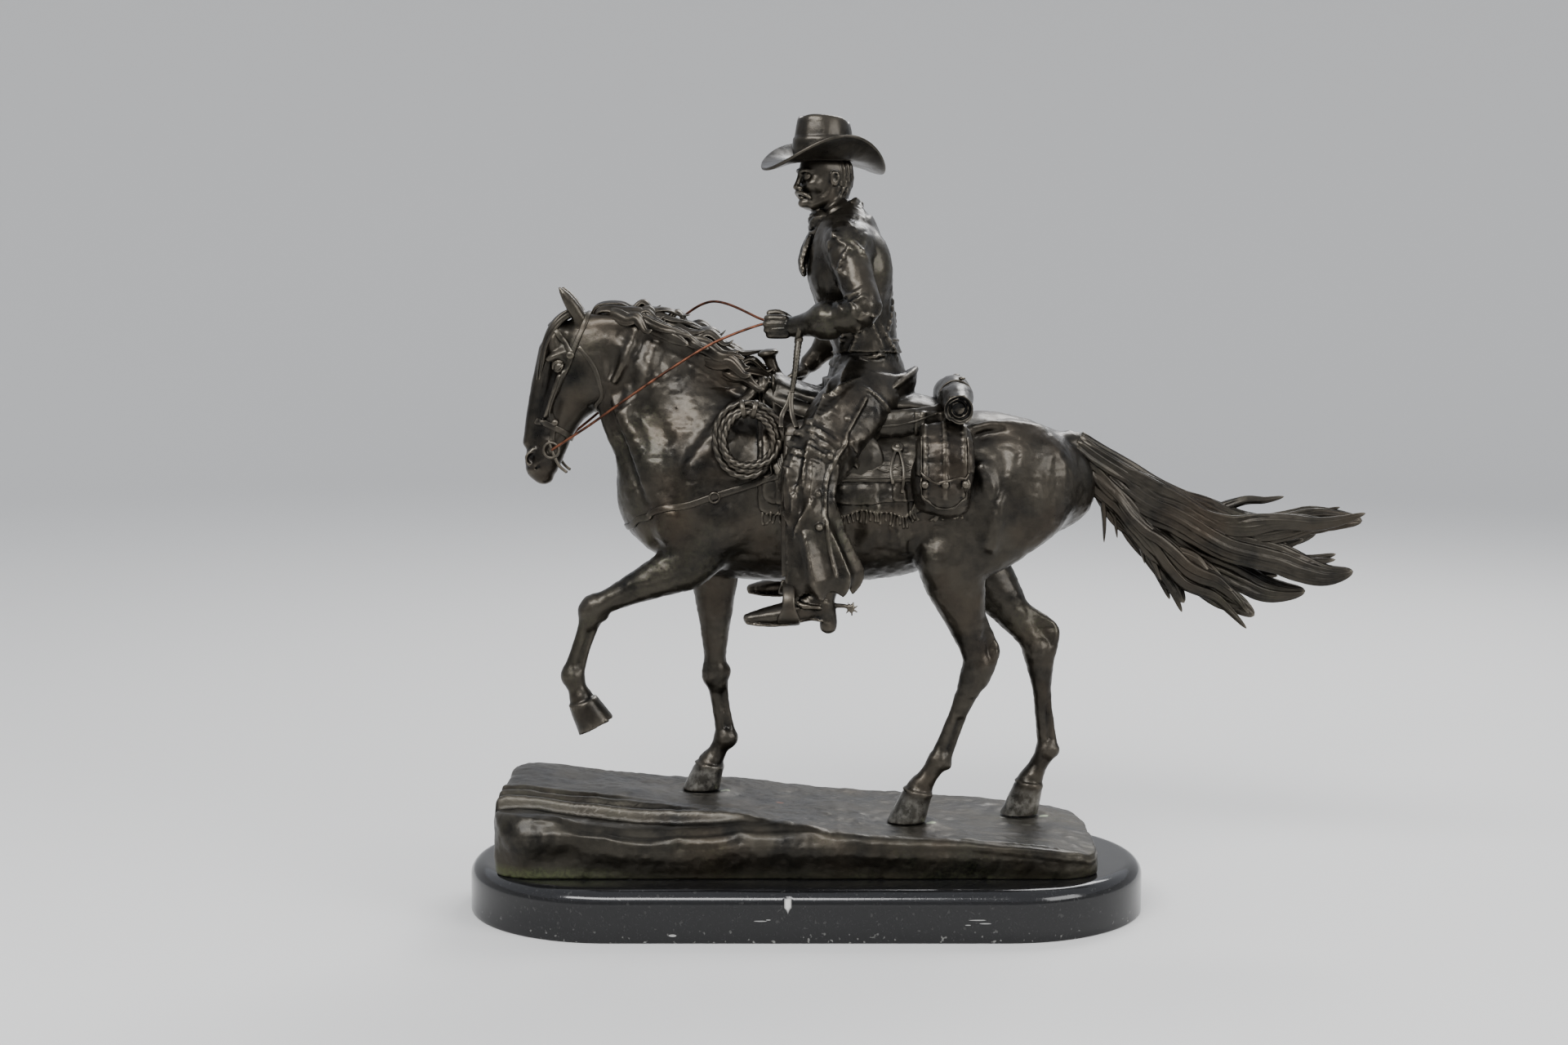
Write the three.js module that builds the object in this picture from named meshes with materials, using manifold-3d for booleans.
// A bronze statuette of a cowboy riding at an easy gait, on a sloping rock ground and a polished stone
// plinth. Millimetres, +Z up. The horse faces -X and its near (left) side is -Y. The origin is the middle of
// the plinth's underside. Horse, rider and tack are one casting; the ground, the plinth and the two reins are
// pieces of their own.
import * as THREE from "three";
import { mergeVertices } from "three/addons/utils/BufferGeometryUtils.js";
import Module from "manifold-3d";

const wasm = await Module();
wasm.setup();

// Driving dimensions.
const PLINTH = { length: 452, depth: 196, wall: 24, height: 34 };
const GROUND = { left: -204, right: 190, depth: 146, top: 67.3, slope: -0.0816, round: 26 };
const GAP = 0.3; // clearance between pieces that touch
const REIN_RADIUS = 0.9;
const NEAR = -1;
const FAR = 1;

// Where the three hoofs on the ground stand.
const HOOFS = {
  farFore: { x: -72, y: 24 },
  nearHind: { x: 66, y: -24 },
  farHind: { x: 146, y: 25 },
};

// Height of the rock surface: a slope down to the right, ledges at the near left, a pad under each hoof.
function groundHeight(x, y) {
  const slope = GROUND.top + GROUND.slope * x;
  const left = THREE.MathUtils.smoothstep(-x, 10, 150);
  const terrace = Math.round((y + 0.16 * x + 74) / 17) * 17 - (y + 0.16 * x + 74);
  const ledge = 0.42 * terrace * left * THREE.MathUtils.smoothstep(-y, 5, 40);
  const swell = 1.6 * Math.sin(x / 23) * Math.cos(y / 19);
  let height = slope + ledge + swell;
  for (const hoof of Object.values(HOOFS)) {
    const away = Math.hypot(x - hoof.x, y - hoof.y);
    const pad = 1 - THREE.MathUtils.smoothstep(away, 17, 30);
    height += pad * (GROUND.top + GROUND.slope * hoof.x - height);
  }
  return height;
}

const soleHeight = (hoof) => GROUND.top + GROUND.slope * hoof.x + GAP;

// Solids.

function toSolid(vertices, triangles) {
  const build = (tris) =>
    new wasm.Manifold(
      new wasm.Mesh({
        numProp: 3,
        vertProperties: Float32Array.from(vertices.flatMap((v) => v.toArray())),
        triVerts: Uint32Array.from(tris.flat()),
      }),
    );
  const solid = build(triangles);
  return solid.volume() > 0 ? solid : build(triangles.map(([a, b, c]) => [a, c, b]));
}

function fromGeometry(geometry, matrix = new THREE.Matrix4()) {
  const bare = new THREE.BufferGeometry();
  const source = geometry.index ? geometry.toNonIndexed() : geometry;
  bare.setAttribute("position", source.getAttribute("position").clone());
  bare.applyMatrix4(matrix);
  const merged = mergeVertices(bare, 1e-3);
  const at = merged.getAttribute("position");
  const vertices = Array.from({ length: at.count }, (_, i) => new THREE.Vector3().fromBufferAttribute(at, i));
  const index = Array.from(merged.index.array);
  const triangles = [];
  for (let i = 0; i < index.length; i += 3) {
    const face = index.slice(i, i + 3);
    if (new Set(face).size === 3) triangles.push(face);
  }
  return toSolid(vertices, triangles);
}

// Joins rings of equal point counts side by side and closes both ends on their middle points.
function loft(rings) {
  const count = rings[0].length;
  const vertices = rings.flat();
  const triangles = [];
  for (let r = 0; r + 1 < rings.length; r++) {
    for (let i = 0; i < count; i++) {
      const a = r * count + i;
      const b = r * count + ((i + 1) % count);
      triangles.push([a, b, a + count], [b, b + count, a + count]);
    }
  }
  for (const [ring, start, turn] of [
    [rings[0], 0, 1],
    [rings.at(-1), (rings.length - 1) * count, -1],
  ]) {
    const middle = new THREE.Vector3();
    ring.forEach((point) => middle.addScaledVector(point, 1 / count));
    const hub = vertices.push(middle) - 1;
    for (let i = 0; i < count; i++) {
      const a = start + i;
      const b = start + ((i + 1) % count);
      triangles.push(turn > 0 ? [b, a, hub] : [a, b, hub]);
    }
  }
  return toSolid(vertices, triangles);
}

// Smooth values between the given stations, by the Catmull-Rom rule, `steps` to each stretch.
function smooth(stations, steps) {
  const last = stations.length - 1;
  const at = (i) => stations[THREE.MathUtils.clamp(i, 0, last)];
  const between = (p0, p1, p2, p3, t) => {
    const cubic = 3 * (p1 - p2) + p3 - p0;
    const square = 2 * p0 - 5 * p1 + 4 * p2 - p3;
    return p1 + 0.5 * t * (p2 - p0 + t * (square + t * cubic));
  };
  return Array.from({ length: last * steps + 1 }, (_, made) => {
    const i = Math.min(Math.floor(made / steps), last);
    const t = made / steps - i;
    return at(i).map((value, k) => between(at(i - 1)[k], value, at(i + 1)[k], at(i + 2)[k], t));
  });
}

// A form drawn by its side view: each section is [front x, front z, back x, back z, half width].
function profiled(sections, sides) {
  const rings = sections.map(([frontX, frontZ, backX, backZ, half]) => {
    const middle = new THREE.Vector3((frontX + backX) / 2, 0, (frontZ + backZ) / 2);
    const deep = new THREE.Vector3((frontX - backX) / 2, 0, (frontZ - backZ) / 2);
    return Array.from({ length: sides }, (_, i) => {
      const angle = (2 * Math.PI * i) / sides;
      const point = middle.clone().addScaledVector(deep, Math.cos(angle));
      point.y += half * Math.sin(angle);
      return point;
    });
  });
  return loft(rings);
}

const SIDEWAYS = new THREE.Vector3(0, 1, 0);

// A limb along a bent path: each station is [x, y, z, half depth, half width], its width kept sideways.
function limb(stations, { sides = 8, steps = 1, across = SIDEWAYS, relief = () => 1 } = {}) {
  const path = smooth(stations, steps);
  const point = (i) => new THREE.Vector3(...path[THREE.MathUtils.clamp(i, 0, path.length - 1)].slice(0, 3));
  const rings = path.map(([x, y, z, deep, wide], i) => {
    const along = point(i + 1).sub(point(i - 1)).normalize();
    const side = across.clone().addScaledVector(along, -across.dot(along)).normalize();
    const front = new THREE.Vector3().crossVectors(side, along);
    return Array.from({ length: sides }, (_, k) => {
      const angle = (2 * Math.PI * k) / sides;
      const swell = relief(i / (path.length - 1), angle);
      return new THREE.Vector3(x, y, z)
        .addScaledVector(front, swell * deep * Math.cos(angle))
        .addScaledVector(side, swell * wide * Math.sin(angle));
    });
  });
  return loft(rings);
}

function ellipsoid(middle, radii, tilt, sides) {
  const matrix = new THREE.Matrix4()
    .makeTranslation(...middle)
    .multiply(new THREE.Matrix4().makeRotationY(tilt))
    .multiply(new THREE.Matrix4().makeScale(...radii));
  return fromGeometry(new THREE.SphereGeometry(1, sides, Math.ceil(sides * 0.6)), matrix);
}

function box(low, high) {
  const size = new THREE.Vector3(...high).sub(new THREE.Vector3(...low));
  const middle = new THREE.Vector3(...low).addScaledVector(size, 0.5);
  return fromGeometry(new THREE.BoxGeometry(...size.toArray()), new THREE.Matrix4().makeTranslation(middle));
}

function ringAround(middle, radius, thick, matrix, sides) {
  const place = new THREE.Matrix4().makeTranslation(...middle).multiply(matrix);
  return fromGeometry(new THREE.TorusGeometry(radius, thick, 4, sides), place);
}

const turned = (matrix, solid) => solid.transform(matrix.toArray());
const joined = (solids) => solids.reduce((sum, solid) => sum.add(solid));

// Horse.

// Trunk sections from the chest to the rump.
const TRUNK = [
  [-101, 290, -105, 258, 13],
  [-94, 311, -101, 240, 28],
  [-73, 334, -83, 228, 37],
  [-42, 344, -54, 223, 41],
  [-2, 334, -9, 220, 48],
  [45, 326, 42, 222, 50],
  [84, 330, 82, 232, 47],
  [116, 335, 114, 241, 44],
  [146, 327, 145, 248, 38],
  [168, 311, 170, 258, 25],
  [180, 292, 181, 276, 8],
];

// Neck sections from the shoulder up to the poll: crest first, throat second.
const NECK = [
  [-28, 341, -98, 258, 32],
  [-48, 354, -112, 284, 28],
  [-68, 371, -124, 308, 23],
  [-90, 386, -131, 329, 19],
  [-113, 396, -137, 346, 16.5],
  [-136, 399, -142, 358, 15],
  [-152, 392, -147, 367, 11],
];

// Head sections from the poll down to the lips: brow and nose first, jaw second. They are drawn with the face
// well forward, and the whole head is then nodded about the poll towards the chest.
const HEAD = [
  [-148, 405, -140, 391, 9],
  [-158, 401, -137, 372, 15],
  [-167, 388, -134, 356, 18],
  [-175, 374, -139, 343, 16.5],
  [-182, 361, -155, 336, 13],
  [-189, 348, -168, 327, 10.5],
  [-196, 336, -176, 317, 9.8],
  [-202, 326, -182, 309, 10.6],
  [-205, 318, -188, 304, 9.5],
  [-203, 311, -194, 305, 6],
];
const POLL = { drawn: [-149, 0, 398], set: [-152, 0, 391] };
const NOD = 0.24;
const nod = new THREE.Matrix4()
  .makeTranslation(...POLL.set)
  .multiply(new THREE.Matrix4().makeRotationY(-NOD))
  .multiply(new THREE.Matrix4().makeTranslation(...POLL.drawn.map((value) => -value)));

// Points on the bone from a to b with half depth and half width given at shares of its length.
function bone(a, b, girths) {
  const along = (share) => a.map((value, k) => value + (b[k] - value) * share);
  return girths.map(([share, deep, wide]) => [...along(share), deep, wide]);
}

// A hoof: a wall that widens from the coronet to a sole, flat on the ground or square to a lifted pastern.
function hoof(coronet, sole, pitch) {
  const ring = (middle, deep, wide, tilt) =>
    Array.from({ length: 9 }, (_, i) => {
      const angle = (2 * Math.PI * i) / 9;
      const out = deep * Math.cos(angle);
      return new THREE.Vector3(
        middle[0] + out * Math.cos(tilt),
        middle[1] + wide * Math.sin(angle),
        middle[2] + out * Math.sin(tilt),
      );
    });
  return loft([ring(coronet, 8.6, 8.6, pitch + 0.35), ring(sole, 13, 11.6, pitch)]);
}

// Joints are [x, z] on the plane y; a pitch tips a lifted sole.
const LEGS = {
  nearFore: {
    y: -26,
    elbow: [-72, 238],
    knee: [-140, 206],
    fetlock: [-155, 161],
    coronet: [-148, 143],
    sole: [-139, 127],
    pitch: -0.5,
  },
  farFore: {
    y: HOOFS.farFore.y,
    elbow: [-62, 234],
    knee: [-62, 156],
    fetlock: [-55, 109],
    coronet: [-66, 91],
    sole: [HOOFS.farFore.x, soleHeight(HOOFS.farFore)],
    pitch: 0,
  },
  nearHind: {
    y: HOOFS.nearHind.y,
    hip: [132, 282],
    stifle: [94, 236],
    hock: [113, 167],
    fetlock: [88, 104],
    coronet: [74, 83],
    sole: [HOOFS.nearHind.x, soleHeight(HOOFS.nearHind)],
  },
  farHind: {
    y: HOOFS.farHind.y,
    hip: [136, 282],
    stifle: [114, 232],
    hock: [158, 170],
    fetlock: [165, 101],
    coronet: [153, 78],
    sole: [HOOFS.farHind.x, soleHeight(HOOFS.farHind)],
  },
};

// The pastern, from the fetlock down into the hoof.
const pastern = (fetlock, coronet) =>
  bone(fetlock, coronet, [
    [0.05, 8.6, 7.4],
    [0.5, 6.2, 6],
    [0.95, 7.8, 7.8],
  ]);

function foreLeg({ y, elbow, knee, fetlock, coronet, sole, pitch }) {
  const at = ([x, z]) => [x, y, z];
  const shoulder = [elbow[0] + 6, elbow[1] + 26];
  const stations = [
    ...bone(at(shoulder), at(elbow), [
      [0, 20, 12],
      [0.6, 20, 13],
    ]),
    ...bone(at(elbow), at(knee), [
      [0.1, 17, 12.5],
      [0.45, 12.6, 10.6],
      [0.85, 8.2, 7.6],
    ]),
    ...bone(at(knee), at(fetlock), [
      [0, 9.6, 8.8],
      [0.2, 7.6, 6.6],
      [0.75, 6.4, 5.2],
    ]),
    ...pastern(at(fetlock), at(coronet)),
  ];
  return limb(stations, { sides: 6 }).add(hoof(at(coronet), at(sole), pitch));
}

function hindLeg({ y, hip, stifle, hock, fetlock, coronet, sole }) {
  const at = ([x, z], out = 0) => [x, y + out * Math.sign(y), z];
  const knee = at(stifle, 7);
  const stations = [
    ...bone(at(hip, 2), knee, [
      [0, 40, 22],
      [0.45, 35, 21],
      [0.85, 26, 17],
    ]),
    ...bone(knee, at(hock), [
      [0.1, 22.5, 15.5],
      [0.45, 16, 12.5],
      [0.84, 9.6, 7.8],
    ]),
    ...bone(at(hock), at(fetlock), [
      [0, 11.6, 8.8],
      [0.22, 9, 7],
      [0.75, 6.8, 5.6],
    ]),
    ...pastern(at(fetlock), at(coronet)),
  ];
  const [tendonX, , tendonZ] = bone(knee, at(hock), [[0.6, 0, 0]])[0];
  const heel = limb(
    [
      [tendonX + 7, y, tendonZ, 5.6, 5],
      [hock[0] + 9.5, y, hock[1] + 8, 5, 5],
      [hock[0] + 6, y, hock[1] - 14, 5, 5],
    ],
    { sides: 5 },
  );
  return limb(stations, { sides: 7 }).add(heel).add(hoof(at(coronet), at(sole), 0));
}

// A lock of hair: a flattened, tapering, wavy limb.
function lock(path, width, thick, sides) {
  const last = path.length - 1;
  const stations = path.map((point, i) => {
    const taper = i === last ? 0.22 : 1 - 0.55 * (i / last) ** 2;
    return [...point, width * taper, thick * taper];
  });
  return limb(stations, { sides });
}

// Locks along the crest, swept back by the gait, by turns on the near side, on top and on the far side.
function mane() {
  const count = 8;
  return Array.from({ length: count }, (_, i) => {
    const index = (i / (count - 1)) * (NECK.length - 2);
    const low = Math.floor(index);
    const [x, z] = [0, 1].map((k) => THREE.MathUtils.lerp(NECK[low][k], NECK[low + 1][k], index - low));
    const side = [NEAR, 0.25, FAR][i % 3];
    const lift = 1 - Math.abs(side);
    const long = 26 + 7 * Math.sin(i * 2.3);
    const path = [
      [x - 5, side * 3, z - 6],
      [x + 3, side * 9, z + 1 + 2 * lift],
      [x + 3 + long * 0.45, side * 17, z - 1 + 5 * lift],
      [x + long * 0.9, side * 21, z - 3 + 9 * lift],
    ];
    return lock(path, 8, 3.8, 4);
  });
}

// The tail streams back from its dock in wavy locks that part towards their tips.
function tail() {
  const root = [190, 0, 309];
  const dock = [
    [158, 0, 308, 10, 11],
    [178, 0, 315, 9, 10],
    [198, 0, 311, 9, 10],
    [218, 0, 297, 12, 9],
  ];
  const strands = [
    { tip: [373, -5, 262], sag: -24, width: 15, thick: 9.5 },
    { tip: [346, 11, 256], sag: -28, width: 15, thick: 9 },
    { tip: [368, -9, 226], sag: -20, width: 17, thick: 9.5 },
    { tip: [338, 7, 208], sag: -16, width: 17, thick: 9.5 },
    { tip: [300, -8, 192], sag: -6, width: 15, thick: 9 },
    { tip: [254, 3, 204], sag: 6, width: 11, thick: 8 },
  ];
  const wave = 8;
  const points = 8;
  const paths = strands.map(({ tip, sag }, i) =>
    Array.from({ length: points }, (_, k) => {
      const t = k / (points - 1);
      const bow = 4 * sag * t * (1 - t);
      const x = THREE.MathUtils.lerp(root[0], tip[0], t);
      const y = tip[1] * t + 3 * Math.sin(6 * t + i);
      const z = THREE.MathUtils.lerp(root[2] - 2 * i, tip[2], t) + bow;
      return [x, y, z + wave * t * (1.2 - t) * Math.sin(9 * t + 1.5 * i)];
    }),
  );
  return [
    limb(dock, { sides: 8 }),
    ...strands.map(({ width, thick }, i) => lock(paths[i], width, thick, 5)),
  ];
}

function ear(side) {
  return limb(
    [
      [-144, side * 7, 396, 4.5, 4],
      [-147, side * 9, 406, 5, 4.4],
      [-150, side * 11, 416, 3.8, 3.2],
      [-153, side * 12, 424, 1, 0.9],
    ],
    { sides: 4 },
  );
}

function horseHead() {
  const parts = [profiled(HEAD, 10)];
  for (const side of [NEAR, FAR]) {
    parts.push(
      ellipsoid([-150, side * 9, 359], [15, 7.5, 17], 0.4, 7),
      ellipsoid([-184, side * 10.2, 322], [3.4, 2.6, 3.4], 0, 6),
      ear(side),
    );
  }
  for (const y of [-7, 5]) {
    const forelock = [
      [-146, y * 0.4, 408],
      [-160, y * 0.8, 409],
      [-173, y, 400],
      [-186, y * 1.2, 376 + Math.abs(y)],
    ];
    parts.push(lock(forelock, 4.5, 5.5, 4));
  }
  return parts.map((solid) => turned(nod, solid));
}

function horse() {
  const parts = [
    profiled(TRUNK, 14),
    profiled(NECK, 10),
    ...horseHead(),
    foreLeg(LEGS.nearFore),
    foreLeg(LEGS.farFore),
    hindLeg(LEGS.nearHind),
    hindLeg(LEGS.farHind),
    ...mane(),
    ...tail(),
  ];
  for (const side of [NEAR, FAR]) {
    parts.push(
      ellipsoid([-72, side * 29, 284], [17, 13, 42], 0.62, 7),
      ellipsoid([-98, side * 14, 262], [14, 14, 20], 0, 7),
      ellipsoid([140, side * 25, 285], [37, 24, 42], 0.35, 8),
    );
  }
  return parts;
}

// Tack.

// The trunk grown outwards, kept from x0 to x1 and above the height floor: a cloth or strap lying on it.
function wrap(grow, x0, x1, floor) {
  const grown = TRUNK.map(([fx, fz, bx, bz, half]) => [fx, fz + grow, bx, bz - grow, half + grow]);
  return profiled(grown, 14).intersect(box([x0, -80, floor], [x1, 80, 400]));
}

function saddleBag(side) {
  return limb(
    [
      [90, side * 46, 322, 17, 5],
      [89, side * 52, 312, 20, 8],
      [87, side * 54, 294, 22, 9],
      [86, side * 52, 276, 20, 8],
      [86, side * 50, 270, 15, 5],
    ],
    { sides: 6 },
  );
}

function tack() {
  const lariat = new THREE.Matrix4().makeRotationX(Math.PI / 2 - 0.12);
  const parts = [
    wrap(3.4, -32, 104, 268),
    wrap(6.4, -24, 88, 290),
    wrap(2.4, -16, -3, 200),
    limb(
      [
        [-30, 0, 348, 9, 15],
        [-12, 0, 349, 10, 22],
        [8, 0, 343, 9, 27],
        [40, 0, 341, 9, 30],
        [62, 0, 349, 11, 31],
        [72, 0, 352, 9, 27],
      ],
      { sides: 10 },
    ),
    ellipsoid([73, 0, 352], [6.5, 29, 15], 0.25, 9),
    limb(
      [
        [-18, 0, 350, 5, 5],
        [-23, 0, 365, 3.6, 3.6],
        [-25, 0, 371, 7.5, 7],
        [-26, 0, 374, 6, 6],
      ],
      { sides: 8 },
    ),
    limb(
      [
        [97, -56, 346, 9, 9],
        [97, -52, 347, 12.5, 12.5],
        [97, 52, 347, 12.5, 12.5],
        [97, 56, 346, 9, 9],
      ],
      { sides: 10, across: new THREE.Vector3(0, 0, 1) },
    ),
    ringAround([-38, NEAR * 47, 318], 19, 5, lariat, 12),
  ];
  return [...parts, saddleBag(NEAR), saddleBag(FAR)];
}

// Rider.

// Torso sections from the seat up to the collar: chest first, back second.
const TORSO = [
  [14, 336, 69, 336, 30],
  [13, 350, 68, 353, 32],
  [19, 374, 60, 379, 28.5],
  [9, 400, 57, 406, 32],
  [2, 422, 52, 430, 36],
  [4, 440, 48, 449, 34],
  [9, 452, 41, 460, 22],
  [13, 460, 33, 466, 12],
];

const HEAD_MIDDLE = [11, 0, 487];
const HEAD_TURN = 0.42; // the rider glances towards the near side

// Shoulder, elbow, wrist and fist: one hand holds the reins, the other rests on the thigh.
const ARMS = [
  [
    [25, NEAR * 33, 443],
    [37, NEAR * 53, 400],
    [-8, NEAR * 30, 390],
    [-17, NEAR * 25, 390],
  ],
  [
    [25, FAR * 33, 443],
    [39, FAR * 55, 401],
    [3, FAR * 55, 364],
    [-4, FAR * 55, 357],
  ],
];

function riderHead() {
  const [x, , z] = HEAD_MIDDLE;
  const sections = [
    [x - 14, z - 19, x - 3, z - 17, 6],
    [x - 17.5, z - 13, x + 4, z - 11, 11],
    [x - 17.5, z - 4, x + 14, z - 3, 13.4],
    [x - 16.5, z + 4, x + 18, z + 4, 14],
    [x - 15, z + 12, x + 17, z + 12, 13.4],
    [x - 8, z + 19, x + 10, z + 19, 8],
  ];
  const nose = limb(
    [
      [x - 16, 0, z + 5, 2, 2],
      [x - 20, 0, z - 4, 2.6, 2.8],
      [x - 16, 0, z - 6, 2, 2],
    ],
    { sides: 6 },
  );
  const moustache = ellipsoid([x - 17.5, 0, z - 8.6], [3, 7, 2], 0, 8);
  return [profiled(sections, 10), nose, moustache];
}

// A broad felt hat: a creased oval crown, and a brim that dips in front and behind and curls up at the sides.
function hat() {
  const [x, , z] = HEAD_MIDDLE;
  const base = z + 13;
  const sides = 14;
  const ring = (long, wide, height, curl) =>
    Array.from({ length: sides }, (_, i) => {
      const angle = (2 * Math.PI * i) / sides;
      const across = Math.sin(angle) ** 2;
      return new THREE.Vector3(
        x + long * Math.cos(angle),
        wide * Math.sin(angle),
        base + height + curl * across - 0.45 * curl * (1 - across),
      );
    });
  return loft([
    ring(16, 13.5, -3, 0),
    ring(30, 25, -2, 5),
    ring(42, 34, -3, 14),
    ring(43, 35, -1.4, 14.6),
    ring(30, 25, 1, 5.4),
    ring(20, 17, 3, 0.5),
    ring(18.5, 15, 18, 0.5),
    ring(15, 12, 27, -2),
    ring(7, 4, 26, -5),
  ]);
}

function riderLeg(side) {
  const chaps = [
    [40, side * 22, 348, 25, 19],
    [20, side * 45, 323, 24, 18],
    [1, side * 62, 296, 20.5, 15],
    [1, side * 66, 272, 18.5, 14],
    [6, side * 68, 250, 21, 15.5],
    [10, side * 69, 229, 26, 18],
  ];
  const boot = limb(
    [
      [8, side * 68, 234, 12, 10],
      [7, side * 68, 219, 10.5, 9],
      [-4, side * 69, 211, 9, 9],
      [-22, side * 71, 207.5, 6.5, 9],
      [-38, side * 73, 206, 3, 4.5],
    ],
    { sides: 7 },
  );
  const heel = box([7, side * 68 - 6, 199], [18, side * 68 + 6, 214]);
  const spur = limb(
    [
      [14, side * 68, 213, 2, 2],
      [28, side * 69, 212, 1.8, 1.8],
    ],
    { sides: 6 },
  );
  const across = new THREE.Matrix4().makeRotationY(Math.PI / 2);
  const stirrup = ringAround([-12, side * 70, 214], 15, 2.6, across, 9);
  const folds = (t, angle) => 1 + 0.09 * Math.sin(5 * angle + 2) * t;
  return [limb(chaps, { sides: 11, relief: folds }), boot, heel, spur, stirrup];
}

function arm(shoulder, elbow, wrist, fist) {
  const stations = [
    ...bone(shoulder, elbow, [
      [-0.24, 6, 6],
      [-0.1, 11.4, 11],
      [0.12, 13.4, 12.6],
      [0.55, 11.6, 11.2],
      [0.94, 10.6, 10.2],
    ]),
    ...bone(elbow, wrist, [
      [0.2, 10.8, 10.2],
      [0.66, 7.8, 7.6],
      [0.74, 9.6, 9.2],
      [1.12, 6.8, 6.2],
    ]),
  ];
  const across = new THREE.Vector3(0.3, 1, 0.2).normalize();
  return [limb(stations, { sides: 7, across }), ellipsoid(fist, [10, 7.6, 8], 0.2, 7)];
}

function rider() {
  const [x, , z] = HEAD_MIDDLE;
  const turn = new THREE.Matrix4()
    .makeTranslation(x, 0, z)
    .multiply(new THREE.Matrix4().makeRotationZ(HEAD_TURN))
    .multiply(new THREE.Matrix4().makeTranslation(-x, 0, -z));
  const scarf = ringAround([19, 0, 462], 13, 4.6, new THREE.Matrix4().makeRotationY(0.22), 10);
  const scarfEnd = [
    [8, -3, 458],
    [0, -6, 446],
    [-3, -9, 430],
  ];
  return [
    profiled(TORSO, 12),
    limb(
      [
        [21, 0, 455, 10, 10],
        [14, 0, 474, 9, 9.5],
      ],
      { sides: 7 },
    ),
    ...riderHead().map((solid) => turned(turn, solid)),
    turned(turn, hat()),
    scarf,
    lock(scarfEnd, 6, 2.6, 4),
    ...riderLeg(NEAR),
    ...riderLeg(FAR),
    ...ARMS.flatMap((joints) => arm(...joints)),
  ];
}

// Separate pieces.

// The points of a closed outline with no stretch between them longer than `longest`.
function divided(points, longest) {
  return points.flatMap((point, i) => {
    const next = points[(i + 1) % points.length];
    const parts = Math.ceil(point.distanceTo(next) / longest);
    return Array.from({ length: parts }, (_, k) => point.clone().lerp(next, k / parts));
  });
}

// The rock: an upright, slightly bulging side with round corners, and the sloping top over it.
function ground() {
  const middle = (GROUND.left + GROUND.right) / 2;
  const halfLength = (GROUND.right - GROUND.left) / 2;
  const halfDepth = GROUND.depth / 2;
  const [cornerX, cornerY] = [halfLength - GROUND.round, halfDepth - GROUND.round];
  const shape = new THREE.Shape();
  [
    [cornerX, -cornerY],
    [cornerX, cornerY],
    [-cornerX, cornerY],
    [-cornerX, -cornerY],
  ].forEach(([x, y], i) => shape.absarc(x, y, GROUND.round, (i - 1) * (Math.PI / 2), i * (Math.PI / 2)));
  const outline = divided(shape.getPoints(2).slice(0, -1), 56);
  const side = (share, z) => outline.map(({ x, y }) => new THREE.Vector3(middle + x * share, y * share, z));
  const top = (share) =>
    side(share, 0).map(({ x, y }) => new THREE.Vector3(x, y, groundHeight(x, y) - (share === 1 ? 3 : 0)));
  const foot = PLINTH.height + GAP;
  const rock = loft([side(1, foot), side(1.008, foot + 5), ...[1, 0.96, 0.78, 0.54, 0.27].map(top)]);
  return Object.values(HOOFS).reduce((solid, hoof) => {
    const seat = soleHeight(hoof) - GAP;
    return solid.add(disc(hoof, 16, foot + 2, seat)).subtract(disc(hoof, 19, seat, seat + 14));
  }, rock);
}

// An upright round block under or over a hoof, from z0 up to z1.
function disc({ x, y }, radius, z0, z1) {
  const matrix = new THREE.Matrix4()
    .makeTranslation(x, y, (z0 + z1) / 2)
    .multiply(new THREE.Matrix4().makeRotationX(Math.PI / 2));
  return fromGeometry(new THREE.CylinderGeometry(radius, radius, z1 - z0, 10), matrix);
}

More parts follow.
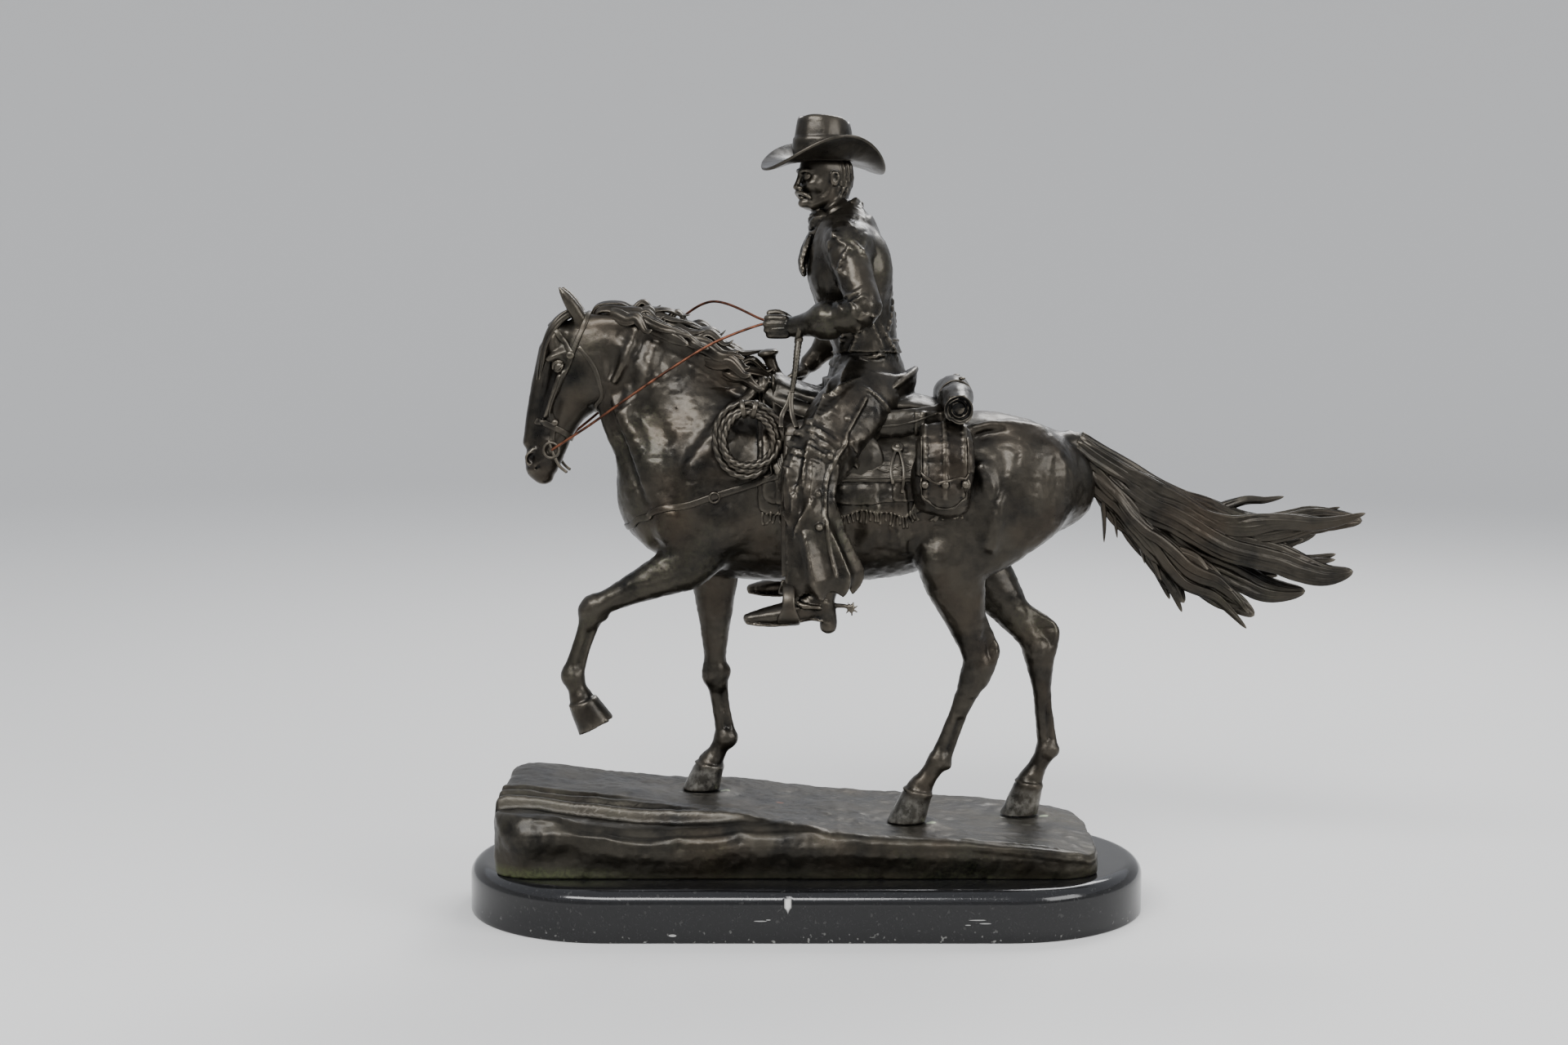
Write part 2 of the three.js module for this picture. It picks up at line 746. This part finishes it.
// The plinth: straight sides with round ends, an upright wall and a quarter-round upper edge.
function plinth() {
  const halfDepth = PLINTH.depth / 2;
  const straight = PLINTH.length / 2 - halfDepth;
  const edge = PLINTH.height - PLINTH.wall;
  const ring = (inset, z) => {
    const outline = new THREE.Shape();
    outline.absarc(straight, 0, halfDepth - inset, -Math.PI / 2, Math.PI / 2);
    outline.absarc(-straight, 0, halfDepth - inset, Math.PI / 2, (3 * Math.PI) / 2);
    return outline.getPoints(6).map(({ x, y }) => new THREE.Vector3(x, y, z));
  };
  const bead = Array.from({ length: 4 }, (_, k) => {
    const angle = (Math.PI / 2) * (k / 3);
    return ring(1 + edge * (1 - Math.cos(angle)), PLINTH.wall + edge * Math.sin(angle));
  });
  return loft([ring(1, 0), ring(0, 1), ring(0, PLINTH.wall - 0.6), ...bead]);
}

function rein(side) {
  const bit = new THREE.Vector3(-184.5, side * 14.3, 322).applyMatrix4(nod).toArray();
  const overCrest = [
    [-142, 21, 330],
    [-118, 27, 351],
    [-95, 29, 384],
    [-64, 10, 406],
    [-30, -17.5, 395],
  ];
  const alongNeck = [
    [-142, -20, 326],
    [-118, -25, 343],
    [-90, -26.5, 362],
    [-60, -26.5, 380],
    [-30, -25, 391.5],
  ];
  const path = [bit, ...(side < 0 ? alongNeck : overCrest)];
  return limb(
    path.map((point) => [...point, REIN_RADIUS, REIN_RADIUS]),
    { sides: 5, steps: 2 },
  );
}

const bronze = new THREE.MeshStandardMaterial({ color: 0x2a241c, roughness: 0.36, metalness: 0.85 });
const groundBronze = new THREE.MeshStandardMaterial({ color: 0x2e271c, roughness: 0.5, metalness: 0.8 });
const stone = new THREE.MeshStandardMaterial({ color: 0x0c0c0d, roughness: 0.12, metalness: 0 });
const copper = new THREE.MeshStandardMaterial({ color: 0x6e3a24, roughness: 0.4, metalness: 0.9 });

function piece(name, solid, material) {
  const made = solid.getMesh();
  const geometry = new THREE.BufferGeometry();
  geometry.setAttribute("position", new THREE.BufferAttribute(made.vertProperties, 3));
  geometry.setIndex(new THREE.BufferAttribute(made.triVerts, 1));
  geometry.computeVertexNormals();
  const mesh = new THREE.Mesh(geometry, material);
  mesh.name = name;
  return mesh;
}

const statue = new THREE.Group();
statue.add(
  piece("stone_plinth", plinth(), stone),
  piece("rock_ground", ground(), groundBronze),
  piece("horse_and_rider", joined([...horse(), ...tack(), ...rider()]), bronze),
  piece("near_rein", rein(NEAR), copper),
  piece("far_rein", rein(FAR), copper),
);

export default statue;
